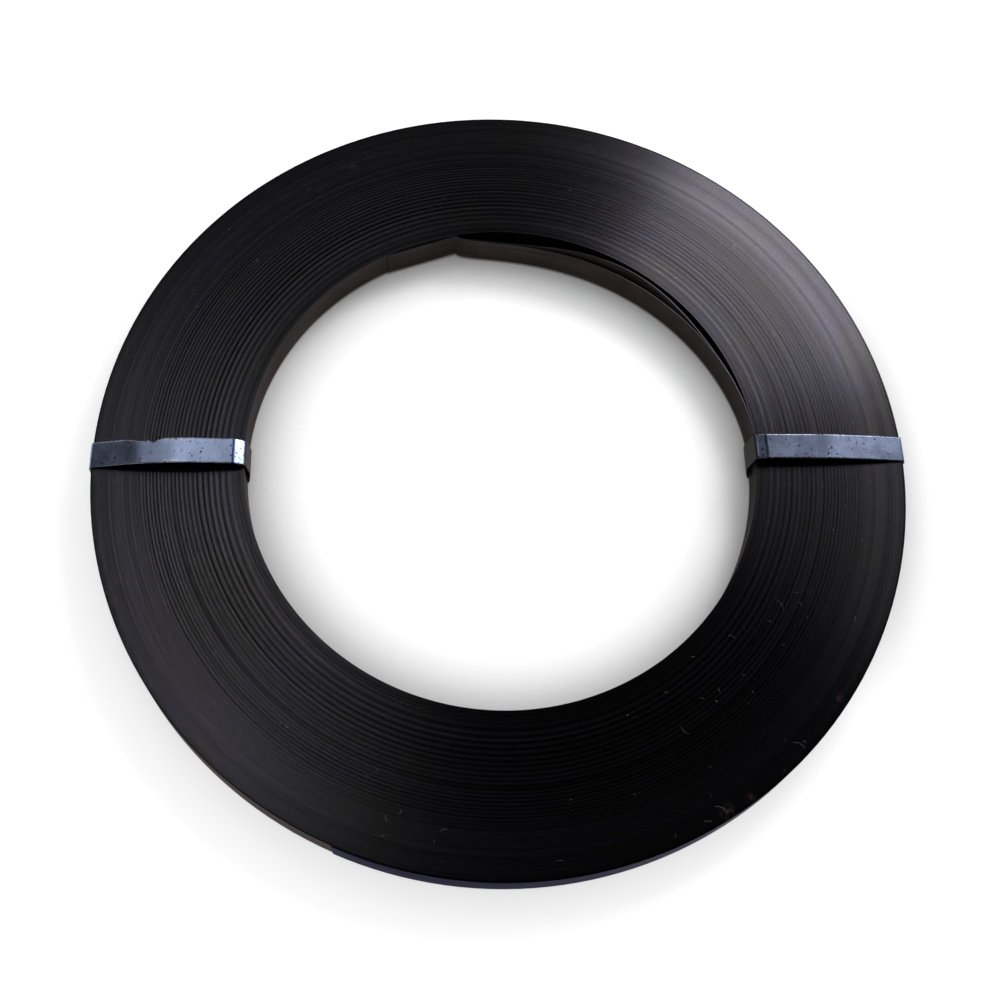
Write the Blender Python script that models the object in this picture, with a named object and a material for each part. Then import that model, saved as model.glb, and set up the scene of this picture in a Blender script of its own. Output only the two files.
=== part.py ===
"""Steel strapping coil, ribbon wound, lying flat and held by two steel tie bands.

The coil's axis is Z through the origin, the floor is z = 0 and the tie bands sit on the X axis.
Lengths are in metres. Azimuths are in degrees, anticlockwise from +X. The strap is wound clockwise
from its inner end, so a place on the coil is also given by its lag: the angle from the inner end,
counted clockwise.
"""
import math
from typing import NamedTuple

import bmesh
import bpy
from mathutils import Vector

# Strap and winding
BORE_DIAMETER = 0.406
STRAP_WIDTH = 0.032
STRAP_THICKNESS = 0.0008
WHOLE_TURNS = 148
INNER_END_AZIMUTH = 117.0
OUTER_END_AZIMUTH = 246.5

# Turn edges on the two end faces: lands of turns with sunken turns between them
SUNKEN_RINGS = 6
FIRST_LAND_TURNS = 8
SUNKEN_TURNS = 3
RING_GROWTH = 1.2
EDGE_RELIEF = 0.0009
LAND_UNEVENNESS = 0.35
LAND_SPREAD = 0.382
UNDERSIDE_SHIFT = 0.5

# Loose inner turns: a flat tail up to a kink, then an arc that stands off the coil
KINK_LAG = 17.3
REJOIN_LAG = 110.5
LOOSE_REACH = 0.0128
LOOSE_RISE = 0.55
LOOSE_FALL = 1.25
SECOND_TURN_GAP = 0.0083
PARTING_START = 0.10
PARTING_END = 0.82
TAIL_SEAT_LAG = 1.5
NARROWEST_GAP = 0.00025
CUTTER_OVERRUN = 0.008

# Tie bands
BAND_WIDTH = 0.021
BAND_THICKNESS = 0.0008
BAND_CLEARANCE = 0.0003
CREASE_FROM_BORE = 0.0088
EDGE_SLACK = 0.0002
TIGHT_BEND = 0.0010
EDGE_BEND = 0.0032
CREASE_BEND = 0.0040
BULGE_BEND = 0.0300
ARCH_BEND = 0.1200
LAP_MARGIN = 0.0035
LAP_GAP = 0.0002
WELD_SPOT_RADIUS = 0.0024
WELD_SPOT_HEIGHT = 0.0003
WELD_SPOT_PITCH = 0.010


class BandShape(NamedTuple):
    """How one tie band stands off the coil: shares are of the winding's build, counted from the bore."""

    azimuth: float
    shoulder_share: float
    shoulder_rise: float
    arch_share: float
    arch_rise: float
    crease_rise: float
    edge_rise: float
    bore_bulge: float


BANDS = {
    "tie_band_right": BandShape(0.0, 0.80, 0.0036, 0.50, 0.0074, 0.0088, 0.0080, 0.0042),
    "tie_band_left": BandShape(180.0, 0.72, 0.0070, 0.40, 0.0100, 0.0068, 0.0025, 0.0024),
}

# Torn notch in the left band's far edge: shares of the build and depths
TORN_BAND = "tie_band_left"
TORN_EDGE = ((0.77, 0.0), (0.70, 0.0014), (0.62, 0.0022), (0.585, 0.0031), (0.57, 0.0016), (0.52, 0.0))

# Facets
RING_SEGMENTS = 96
BEND_SEGMENTS = 4
WELD_SEGMENTS = 16
SHARP_ANGLE = 30.0

BORE_RADIUS = BORE_DIAMETER / 2
COIL_BASE = BAND_THICKNESS + BAND_CLEARANCE
COIL_TOP = COIL_BASE + STRAP_WIDTH
OUTER_END_LAG = (INNER_END_AZIMUTH - OUTER_END_AZIMUTH) % 360


def clear_scene():
    """Remove whatever objects the scene already holds."""
    for old in list(bpy.data.objects):
        bpy.data.objects.remove(old, do_unlink=True)


def make_material(name, colour, metallic, roughness):
    """Plain Principled material in the piece's own colour."""
    material = bpy.data.materials.new(name)
    material.use_nodes = True
    shader = material.node_tree.nodes["Principled BSDF"]
    shader.inputs["Base Color"].default_value = (*colour, 1.0)
    shader.inputs["Metallic"].default_value = metallic
    shader.inputs["Roughness"].default_value = roughness
    return material


def wound_radius(turns, lag):
    """Radius of the spiral's face after a number of whole turns, at a lag."""
    return BORE_RADIUS + STRAP_THICKNESS * (turns + lag / 360)


def on_circle(radius, lag, z):
    """Point at a radius, a lag and a height."""
    angle = math.radians(INNER_END_AZIMUTH - lag)
    return Vector((radius * math.cos(angle), radius * math.sin(angle), z))


def outer_radius(lag):
    """Outer wall: one strap thickness more up to the cut outer end."""
    extra = 1 if lag <= OUTER_END_LAG else 0
    return wound_radius(WHOLE_TURNS + extra, lag)


def first_stand_off(lag):
    """How far the innermost turn stands inward of its wound place.

    From the inner end to the kink it is the straight chord of the bore. From the kink to where it
    rejoins the coil it is a lopsided hump, u**rise * (1 - u)**fall, scaled to its highest value.
    """
    if lag <= KINK_LAG:
        chord = BORE_RADIUS * math.cos(math.radians(KINK_LAG / 2))
        return wound_radius(0, lag) - chord / math.cos(math.radians(lag - KINK_LAG / 2))
    if lag >= REJOIN_LAG:
        return 0.0
    u = (lag - KINK_LAG) / (REJOIN_LAG - KINK_LAG)
    peak = LOOSE_RISE / (LOOSE_RISE + LOOSE_FALL)
    highest = peak**LOOSE_RISE * (1 - peak) ** LOOSE_FALL
    return LOOSE_REACH * u**LOOSE_RISE * (1 - u) ** LOOSE_FALL / highest


def second_stand_off(lag):
    """How far the second turn stands inward: it runs with the first, parts from it and meets it again."""
    if not KINK_LAG < lag < REJOIN_LAG:
        return 0.0
    u = (lag - KINK_LAG) / (REJOIN_LAG - KINK_LAG)
    parting = 0.0
    if PARTING_START < u < PARTING_END:
        through = (u - PARTING_START) / (PARTING_END - PARTING_START)
        parting = SECOND_TURN_GAP * math.sin(math.pi * through) ** 2
    return max(first_stand_off(lag) - parting, 0.0)


def inner_radius(lag):
    """Inner wall: the inner face of the innermost turn."""
    return wound_radius(0, lag) - first_stand_off(lag)


def ring_lags():
    """Lags of the ring's stations: even steps, with the kink and the outer end put in."""
    even = [360 * i / RING_SEGMENTS for i in range(RING_SEGMENTS)]
    return sorted(set(even + [KINK_LAG, OUTER_END_LAG]))


def land_edges():
    """Radii between the lands and the sunken rings, from the bore outwards, wider lands further out."""
    first = BORE_RADIUS + FIRST_LAND_TURNS * STRAP_THICKNESS
    rest = (WHOLE_TURNS - FIRST_LAND_TURNS) * STRAP_THICKNESS
    starts = [first + rest * (ring / SUNKEN_RINGS) ** RING_GROWTH for ring in range(SUNKEN_RINGS)]
    return [edge for start in starts for edge in (start, start + SUNKEN_TURNS * STRAP_THICKNESS)]


def land_drop(index, phase):
    """How far a land, or a sunken ring at an odd index, lies inside the strap's full width."""
    unevenness = LAND_UNEVENNESS * ((LAND_SPREAD * index + phase) % 1.0)
    return EDGE_RELIEF * (1 - unevenness if index % 2 else unevenness)


def ring_profile(inner, outer):
    """Closed section of the wound ring: up the bore, out over the top lands, down and back below."""
    edges = [inner, *land_edges(), outer]
    top = []
    bottom = []
    for index in range(len(edges) - 1):
        high = COIL_TOP - land_drop(index, 0.0)
        low = COIL_BASE + land_drop(index, UNDERSIDE_SHIFT)
        top += [(edges[index], high), (edges[index + 1], high)]
        bottom += [(edges[index], low), (edges[index + 1], low)]
    return [bottom[0], *top, *reversed(bottom[1:])]


def make_station(mesh, lag, before, after):
    """Vertices of a station for the segment before it and the one after it, shared where they agree."""
    vertices = {}
    loops = []
    for profile in (before, after):
        loop = []
        for radius, z in profile:
            key = (round(radius, 7), round(z, 7))
            if key not in vertices:
                vertices[key] = mesh.verts.new(on_circle(radius, lag, z))
            loop.append(vertices[key])
        loops.append(loop)
    return loops


def edge_chain(mine, other, index):
    """Vertices along one profile edge, with the other loop's vertex where it lies on that edge."""
    start = mine[index]
    end = mine[(index + 1) % len(mine)]
    low, high = sorted((start.co.xy.length, end.co.xy.length))
    for vertex in (other[index], other[(index + 1) % len(other)]):
        if vertex not in (start, end) and low < vertex.co.xy.length < high:
            return [start, vertex, end]
    return [start, end]


def make_wound_ring(mesh):
    """Ring whose walls follow the spiral, with the strap's two cut ends as real steps."""
    lags = ring_lags()
    stations = []
    for lag in lags:
        lag_before = 360.0 if lag == 0 else lag
        outer_before = outer_radius(lag_before)
        outer_after = outer_before
        if lag == OUTER_END_LAG:
            outer_after = outer_before - STRAP_THICKNESS
        before = ring_profile(inner_radius(lag_before), outer_before)
        after = ring_profile(inner_radius(lag), outer_after)
        stations.append(make_station(mesh, lag, before, after))
    for number, (before, after) in enumerate(stations):
        next_before, next_after = stations[(number + 1) % len(stations)]
        for index in range(len(after)):
            near = edge_chain(after, before, index)
            far = edge_chain(next_before, next_after, index)
            mesh.faces.new(near + far[::-1])
        for low, high in ((0, 1), (len(after) // 2, len(after) // 2 + 1)):
            if before[low] is not after[low]:
                mesh.faces.new((before[low], before[high], after[high], after[low]))
    bmesh.ops.recalc_face_normals(mesh, faces=mesh.faces)


def finish_mesh(name, mesh, material):
    """Object in the scene from a bmesh, smooth except at its sharp edges."""
    data = bpy.data.meshes.new(name)
    mesh.to_mesh(data)
    mesh.free()
    data.materials.append(material)
    data.shade_smooth()
    data.set_sharp_from_angle(angle=math.radians(SHARP_ANGLE))
    made = bpy.data.objects.new(name, data)
    bpy.context.scene.collection.objects.link(made)
    return made


def add_boolean(piece, name, operation, mesh):
    """Join a helper shape to a piece, or cut it out, with a live modifier."""
    helper = finish_mesh(name, mesh, piece.data.materials[0])
    helper.hide_render = True
    helper.display_type = "WIRE"
    modifier = piece.modifiers.new(name, "BOOLEAN")
    modifier.operation = operation
    modifier.solver = "EXACT"
    modifier.object = helper
    return helper


def make_prism(mesh, outline, low, high):
    """Closed prism on a plan outline, between two heights."""
    lower = [mesh.verts.new((x, y, low)) for x, y in outline]
    upper = [mesh.verts.new((x, y, high)) for x, y in outline]
    mesh.faces.new(lower[::-1])
    mesh.faces.new(upper)
    for index in range(len(outline)):
        after = (index + 1) % len(outline)
        mesh.faces.new((lower[index], lower[after], upper[after], upper[index]))


def gap_outline(layer, outer_side, inner_side, first, last):
    """Plan of the gap between two turns: a crescent with a tip at each end.

    The layer is the number of turns inward of the gap. Each side is a turn's stand-off, and the
    crescent is as wide as the two sides differ.
    """
    inside = [
        lag
        for lag in ring_lags()
        if first < lag < last and inner_side(lag) - outer_side(lag) > NARROWEST_GAP
    ]
    tip = wound_radius(layer, first) - outer_side(first)
    points = [on_circle(tip, first, 0).xy]
    points += [on_circle(wound_radius(layer, lag) - outer_side(lag), lag, 0).xy for lag in inside]
    tip = wound_radius(layer, last) - outer_side(last)
    points += [on_circle(tip, last, 0).xy]
    points += [
        on_circle(wound_radius(layer, lag) - inner_side(lag), lag, 0).xy for lag in reversed(inside)
    ]
    return points


def no_stand_off(lag):
    """A turn that lies where it was wound."""
    return 0.0


def make_gaps(mesh):
    """Prisms for the three gaps: behind the tail, behind the second turn and between the loose turns."""
    parting_start = KINK_LAG + PARTING_START * (REJOIN_LAG - KINK_LAG)
    parting_end = KINK_LAG + PARTING_END * (REJOIN_LAG - KINK_LAG)
    outlines = (
        gap_outline(1, no_stand_off, first_stand_off, TAIL_SEAT_LAG, KINK_LAG),
        gap_outline(2, no_stand_off, second_stand_off, KINK_LAG, REJOIN_LAG),
        gap_outline(1, second_stand_off, first_stand_off, parting_start, parting_end),
    )
    for outline in outlines:
        make_prism(mesh, outline, COIL_BASE - CUTTER_OVERRUN, COIL_TOP + CUTTER_OVERRUN)
    bmesh.ops.recalc_face_normals(mesh, faces=mesh.faces)


def make_strap_coil():
    """The one continuous strap: wound ring, flat tail, kink, two loose turns and both cut ends."""
    mesh = bmesh.new()
    make_wound_ring(mesh)
    coil = finish_mesh("strap_coil", mesh, make_material("black_strap", (0.012, 0.012, 0.014), 0.6, 0.42))
    mesh = bmesh.new()
    make_gaps(mesh)
    add_boolean(coil, "gaps_between_turns", "DIFFERENCE", mesh)


def rounded_path(corners):
    """Path through (x, z, bend radius) corners, each bend an arc tangent to both runs."""
    path = [Vector(corners[0][:2])]
    for before, corner, after in zip(corners, corners[1:], corners[2:]):
        point = Vector(corner[:2])
        back = (Vector(before[:2]) - point).normalized()
        ahead = (Vector(after[:2]) - point).normalized()
        half = back.angle(ahead) / 2
        centre = point + (back + ahead).normalized() * corner[2] / math.sin(half)
        start = point + back * corner[2] / math.tan(half) - centre
        end = point + ahead * corner[2] / math.tan(half) - centre
        sweep = start.angle_signed(end)
        for step in range(BEND_SEGMENTS + 1):
            angle = -sweep * step / BEND_SEGMENTS
            turned = Vector(
                (
                    start.x * math.cos(angle) - start.y * math.sin(angle),
                    start.x * math.sin(angle) + start.y * math.cos(angle),
                )
            )
            path.append(centre + turned)
    path.append(Vector(corners[-1][:2]))
    return path


def band_corners(shape):
    """Corners of a tie band's middle line in the coil's section, from its inner lap end round to its outer one."""
    lag = (INNER_END_AZIMUTH - shape.azimuth) % 360
    seat = BAND_CLEARANCE + BAND_THICKNESS / 2
    facet = math.cos(math.pi / RING_SEGMENTS)
    bore_wall = math.sqrt((wound_radius(0, lag) * facet) ** 2 - (BAND_WIDTH / 2) ** 2)
    inner = bore_wall - seat
    outer = outer_radius(lag) + seat
    lapped = outer + BAND_THICKNESS + LAP_GAP
    top = COIL_TOP + seat
    base = COIL_BASE - seat
    build = outer - inner
    return [
        (outer, COIL_BASE + LAP_MARGIN, 0),
        (outer, top, TIGHT_BEND),
        (inner + shape.shoulder_share * build, top + shape.shoulder_rise, ARCH_BEND),
        (inner + shape.arch_share * build, top + shape.arch_rise, ARCH_BEND),
        (inner + CREASE_FROM_BORE, top + shape.crease_rise, CREASE_BEND),
        (inner - EDGE_SLACK, top + shape.edge_rise, EDGE_BEND),
        (inner - shape.bore_bulge, (top + base) / 2, BULGE_BEND),
        (inner, base, TIGHT_BEND),
        (lapped, base, TIGHT_BEND),
        (lapped, COIL_TOP - LAP_MARGIN, 0),
    ]


def band_sides(path):
    """The path set off by half the band's thickness to each side, mitred at its points."""
    left = []
    right = []
    for index, point in enumerate(path):
        before = path[max(index - 1, 0)]
        after = path[min(index + 1, len(path) - 1)]
        into = (point - before).normalized() if point != before else (after - point).normalized()
        out = (after - point).normalized() if after != point else into
        across = Vector((-(into + out).y, (into + out).x)).normalized()
        stretch = BAND_THICKNESS / 2 / across.dot(Vector((-into.y, into.x)))
        left.append(point + across * stretch)
        right.append(point - across * stretch)
    return left, right


def make_band_strip(mesh, shape):
    """Flat strip carried along the band's path, closed at both lap ends."""
    left, right = band_sides(rounded_path(band_corners(shape)))
    rows = []
    for side, y in ((left, -1), (right, -1), (right, 1), (left, 1)):
        rows.append([mesh.verts.new((p.x, y * BAND_WIDTH / 2, p.y)) for p in side])
    for index in range(len(left) - 1):
        for row, next_row in zip(rows, rows[1:] + rows[:1]):
            mesh.faces.new((row[index], next_row[index], next_row[index + 1], row[index + 1]))
    for end in (0, -1):
        mesh.faces.new([row[end] for row in rows])
    bmesh.ops.recalc_face_normals(mesh, faces=mesh.faces)


def make_weld_spots(mesh, shape):
    """Round spots that join the two layers of the lap and stand a little proud of it."""
    corners = band_corners(shape)
    inner_layer = corners[0][0]
    outer_face = corners[-1][0] + BAND_THICKNESS / 2 + WELD_SPOT_HEIGHT
    middle = (COIL_BASE + COIL_TOP) / 2
    for side in (-1, 1):
        outline = []
        for step in range(WELD_SEGMENTS):
            angle = 2 * math.pi * step / WELD_SEGMENTS
            y = side * WELD_SPOT_PITCH / 2 + WELD_SPOT_RADIUS * math.cos(angle)
            outline.append((y, middle + WELD_SPOT_RADIUS * math.sin(angle)))
        inward = [mesh.verts.new((inner_layer, y, z)) for y, z in outline]
        outward = [mesh.verts.new((outer_face, y, z)) for y, z in outline]
        mesh.faces.new(inward)
        mesh.faces.new(outward)
        for index in range(WELD_SEGMENTS):
            after = (index + 1) % WELD_SEGMENTS
            mesh.faces.new((inward[index], inward[after], outward[after], outward[index]))
    bmesh.ops.recalc_face_normals(mesh, faces=mesh.faces)


def make_torn_edge(mesh, shape):
    """Prism that bites the torn notch out of the top run's far edge, above the coil only."""
    corners = band_corners(shape)
    inner = corners[-3][0]
    build = corners[0][0] - inner
    far_edge = -BAND_WIDTH / 2
    outline = [(inner + share * build, far_edge + depth) for share, depth in TORN_EDGE]
    outline.append((outline[-1][0], far_edge - CUTTER_OVERRUN))
    outline.append((outline[0][0], far_edge - CUTTER_OVERRUN))
    make_prism(mesh, outline, COIL_TOP, COIL_TOP + shape.arch_rise + CUTTER_OVERRUN)
    bmesh.ops.recalc_face_normals(mesh, faces=mesh.faces)


def make_tie_band(name, shape, material):
    """Flat steel band round the coil's section, its ends lapped on the outer wall and spot welded."""
    mesh = bmesh.new()
    make_band_strip(mesh, shape)
    band = finish_mesh(name, mesh, material)
    mesh = bmesh.new()
    make_weld_spots(mesh, shape)
    helpers = [add_boolean(band, name + "_weld_spots", "UNION", mesh)]
    if name == TORN_BAND:
        mesh = bmesh.new()
        make_torn_edge(mesh, shape)
        helpers.append(add_boolean(band, name + "_torn_edge", "DIFFERENCE", mesh))
    for placed in (band, *helpers):
        placed.rotation_euler.z = math.radians(shape.azimuth)


def main():
    clear_scene()
    make_strap_coil()
    blued_steel = make_material("blued_steel", (0.16, 0.19, 0.24), 0.85, 0.38)
    for name, shape in BANDS.items():
        make_tie_band(name, shape, blued_steel)


main()
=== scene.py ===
"""Studio look of a steel strapping coil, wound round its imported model.

The coil lies flat with its winding axis on Z and the floor at z = 0. Lengths are in metres and angles
in radians, unless a comment says otherwise. Azimuths run anticlockwise from +X. The strap is wound
clockwise from its inner end, so a place along it is given by its lag: the angle wound since the inner
end. The whole strap is made as one spiral, in four stretches that meet end to end.
"""

import math
from typing import NamedTuple

import bpy
import numpy as np
from bpy.props import FloatProperty, FloatVectorProperty, IntProperty, PointerProperty
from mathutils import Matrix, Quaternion, Vector


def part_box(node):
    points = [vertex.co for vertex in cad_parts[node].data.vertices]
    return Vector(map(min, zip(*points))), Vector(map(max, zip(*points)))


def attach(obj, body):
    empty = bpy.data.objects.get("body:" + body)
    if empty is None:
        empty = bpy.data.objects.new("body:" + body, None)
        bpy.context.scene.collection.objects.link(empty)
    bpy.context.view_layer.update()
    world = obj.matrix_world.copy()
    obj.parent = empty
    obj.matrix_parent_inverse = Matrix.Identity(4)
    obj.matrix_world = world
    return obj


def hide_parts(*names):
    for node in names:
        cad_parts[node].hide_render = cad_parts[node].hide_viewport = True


bl_info = {
    "name": "Steel Strapping Coil",
    "version": (1, 0, 0),
    "blender": (4, 5, 0),
    "location": "3D View > Sidebar > Strapping Coil",
    "description": "Winds a steel strapping coil, ties it with steel bands and lights it in a studio",
    "category": "Object",
}

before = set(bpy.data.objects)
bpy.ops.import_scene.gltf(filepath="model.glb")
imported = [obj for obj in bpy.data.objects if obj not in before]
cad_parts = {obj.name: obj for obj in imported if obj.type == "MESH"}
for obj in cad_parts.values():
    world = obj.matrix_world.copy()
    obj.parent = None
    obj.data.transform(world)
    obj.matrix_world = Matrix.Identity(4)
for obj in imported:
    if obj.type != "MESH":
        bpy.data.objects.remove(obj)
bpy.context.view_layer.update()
COIL_LOW, COIL_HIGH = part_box("strap_coil")
LEFT_LOW, LEFT_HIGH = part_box("tie_band_left")

FULL_TURN = 2 * math.pi
MM = 0.001


class StrapSettings(bpy.types.PropertyGroup):
    """Sizes of the wound strap."""

    bore_diameter: FloatProperty(
        name="Bore", description="Diameter of the bore", default=0.406, unit="LENGTH"
    )
    thickness: FloatProperty(
        name="Thickness", description="Thickness of the strap", default=0.0008, unit="LENGTH"
    )
    whole_turns: IntProperty(name="Whole turns", description="Turns all the way round", default=148)
    inner_end: FloatProperty(
        name="Inner end",
        description="Azimuth of the inner cut end",
        default=math.radians(117),
        unit="ROTATION",
    )
    outer_end: FloatProperty(
        name="Outer end",
        description="Azimuth of the outer cut end",
        default=math.radians(246.5),
        unit="ROTATION",
    )
    kink: FloatProperty(
        name="Kink",
        description="Lag at which the flat tail ends",
        default=math.radians(17.3),
        unit="ROTATION",
    )
    rejoin: FloatProperty(
        name="Rejoin",
        description="Lag at which the loose turns lie on the coil again",
        default=math.radians(110.5),
        unit="ROTATION",
    )
    loose_reach: FloatProperty(
        name="Loose reach",
        description="How far the innermost turn stands off the coil",
        default=0.0128,
        unit="LENGTH",
    )
    second_turn_gap: FloatProperty(
        name="Second turn gap",
        description="Widest gap between the two loose turns",
        default=0.0083,
        unit="LENGTH",
    )
    edge_slack: FloatProperty(
        name="Edge slack",
        description="How much higher the coil is than the strap is wide, because its turns lie unevenly",
        default=0.0007,
        unit="LENGTH",
    )


class BandSettings(bpy.types.PropertyGroup):
    """Sizes that both tie bands share."""

    width: FloatProperty(
        name="Width", description="Width of a tie band", default=LEFT_HIGH.y - LEFT_LOW.y, unit="LENGTH"
    )
    thickness: FloatProperty(
        name="Thickness", description="Thickness of a tie band", default=0.0008, unit="LENGTH"
    )
    clearance: FloatProperty(
        name="Clearance", description="Gap between a band and the coil", default=0.0003, unit="LENGTH"
    )
    edge_wear: FloatProperty(
        name="Edge wear", description="Depth of the nicks in a band's edges", default=0.00022, unit="LENGTH"
    )


class ColourSettings(bpy.types.PropertyGroup):
    """Colours of the finishes."""

    strap_edge: FloatVectorProperty(
        name="Strap edge",
        description="Sheen of the turn edges",
        subtype="COLOR",
        default=(0.0225, 0.0216, 0.0258),
    )
    strap_face: FloatVectorProperty(
        name="Strap face",
        description="Sheen of the strap's faces",
        subtype="COLOR",
        default=(0.0500, 0.0410, 0.0400),
    )
    band_steel: FloatVectorProperty(
        name="Band steel", description="Blue tempered steel", subtype="COLOR", default=(0.19, 0.232, 0.34)
    )
    worn_steel: FloatVectorProperty(
        name="Worn steel",
        description="Bare steel where a band is worn",
        subtype="COLOR",
        default=(0.44, 0.44, 0.48),
    )
    rust: FloatVectorProperty(
        name="Rust", description="Light rust", subtype="COLOR", default=(0.17, 0.062, 0.028)
    )
    dust: FloatVectorProperty(
        name="Dust", description="Dust and lint", subtype="COLOR", default=(0.34, 0.33, 0.31)
    )
    floor: FloatVectorProperty(
        name="Floor", description="Pale studio floor", subtype="COLOR", default=(0.52, 0.52, 0.52)
    )


class StudioSettings(bpy.types.PropertyGroup):
    """Light levels of the studio."""

    lamp_level: FloatProperty(name="Lamp level", description="Scales every softbox", default=1.0, min=0.0)
    sky_level: FloatProperty(
        name="Sky level", description="Brightness of the dim ceiling", default=0.44, min=0.0
    )
    floor_glow: FloatProperty(
        name="Floor glow",
        description="Light that the white floor adds to its own picture",
        default=0.82,
        min=0.0,
    )


def smoothstep(x):
    """3x^2 - 2x^3 on x held to 0..1."""
    x = np.clip(x, 0.0, 1.0)
    return x * x * (3 - 2 * x)


def value_noise(x, spacing, seed):
    """Seeded random heights in -1..1 at evenly spaced knots, joined by smooth steps."""
    place = np.asarray(x, float) / spacing
    place = place - np.floor(place.min())
    heights = np.random.default_rng(seed).uniform(-1, 1, int(place.max()) + 3)
    knot = np.floor(place).astype(int)
    blend = smoothstep(place - knot)
    return heights[knot] * (1 - blend) + heights[knot + 1] * blend


def window(x, start, end, soft):
    """One between start and end, falling smoothly to nothing over the soft width outside them."""
    return smoothstep((x - start) / soft + 1) * smoothstep((end - x) / soft + 1)


def tube_faces(stations, around):
    """Quads between neighbouring rings of a closed section, and the points of its first and last rings."""
    index = np.arange(stations * around).reshape(stations, around)
    here, ahead = index[:-1], index[1:]
    quads = np.stack([here, ahead, np.roll(ahead, -1, 1), np.roll(here, -1, 1)], axis=-1)
    return quads.reshape(-1, 4), index[0], index[-1]


def signed_volume(points, quads):
    """Sixth of the sum of corner triple products: positive where the quads face out."""
    a, b, c, d = (points[quads[:, corner]] for corner in range(4))
    return (np.cross(a, b) * c).sum() / 6 + (np.cross(a, c) * d).sum() / 6


def add_mesh(name, points, faces, materials):
    """Smooth mesh object of points and faces, put in the scene."""
    data = bpy.data.meshes.new(name)
    data.from_pydata(points.reshape(-1, 3).tolist(), [], faces)
    for material in materials:
        data.materials.append(material)
    data.shade_smooth()
    made = bpy.data.objects.new(name, data)
    bpy.context.scene.collection.objects.link(made)
    return made


def make_tube(name, rings, materials, strip_material, sharp_rows, attributes):
    """Mesh object from an array of section rings (stations x around x 3), closed at both ends.

    strip_material gives the material of each strip along the tube, sharp_rows the points of the
    section whose edges along the tube stay sharp, and attributes the values stored at each point.
    """
    stations, around = rings.shape[:2]
    points = rings.reshape(-1, 3)
    quads, first, last = tube_faces(stations, around)
    caps = [first, last[::-1]]
    if signed_volume(points, quads) < 0:
        quads = quads[:, ::-1]
        caps = [cap[::-1] for cap in caps]
    made = add_mesh(name, points, quads.tolist() + [cap.tolist() for cap in caps], materials)
    data = made.data
    slots = np.concatenate([np.tile(strip_material, stations - 1), [0, 0]]).astype(np.int32)
    data.polygons.foreach_set("material_index", slots)
    ends = np.empty(2 * len(data.edges), np.int32)
    data.edges.foreach_get("vertices", ends)
    row = ends.reshape(-1, 2) % around
    sharp = (row[:, 0] == row[:, 1]) & np.isin(row[:, 0], sharp_rows)
    station = ends.reshape(-1, 2) // around
    on_cap = (station[:, 0] == station[:, 1]) & np.isin(station[:, 0], (0, stations - 1))
    data.attributes.new("sharp_edge", "BOOLEAN", "EDGE").data.foreach_set("value", sharp | on_cap)
    for key, values in attributes.items():
        flat = np.ascontiguousarray(values, np.float32).ravel()
        data.attributes.new(key, "FLOAT", "POINT").data.foreach_set("value", flat)
    return made


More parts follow.
